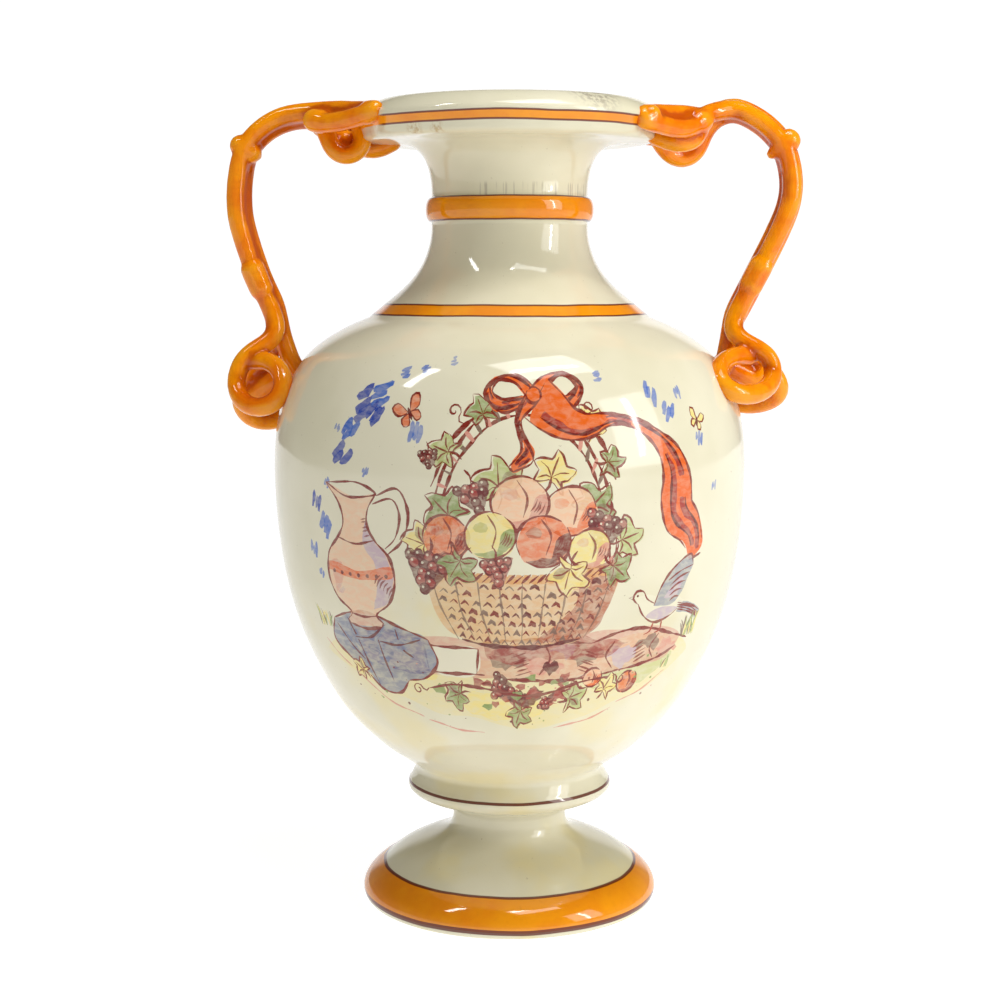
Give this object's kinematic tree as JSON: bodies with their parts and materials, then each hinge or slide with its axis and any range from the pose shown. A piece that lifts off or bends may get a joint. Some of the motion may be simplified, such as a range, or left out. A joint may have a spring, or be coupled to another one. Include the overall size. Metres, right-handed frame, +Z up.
{
  "type": "two-handled vase",
  "caption": "Ovoid pottery vase on a pedestal foot, with a flared rim and a pair of vine-stem handles that curl at both ends.",
  "frame": {"origin": "centre of the base at the bottom, on the surface the foot ring stands on", "axes": "+Z up along the vase's axis, +X towards the right-hand handle seen from the front, the front faces -Y"},
  "size_m": [0.214, 0.1752, 0.3014],
  "materials": {
    "glazed_pottery": "glossy tin glaze, hand painted"
  },
  "bodies": {
    "root": {"vase": "glazed_pottery"}
  },
  "joints": []
}
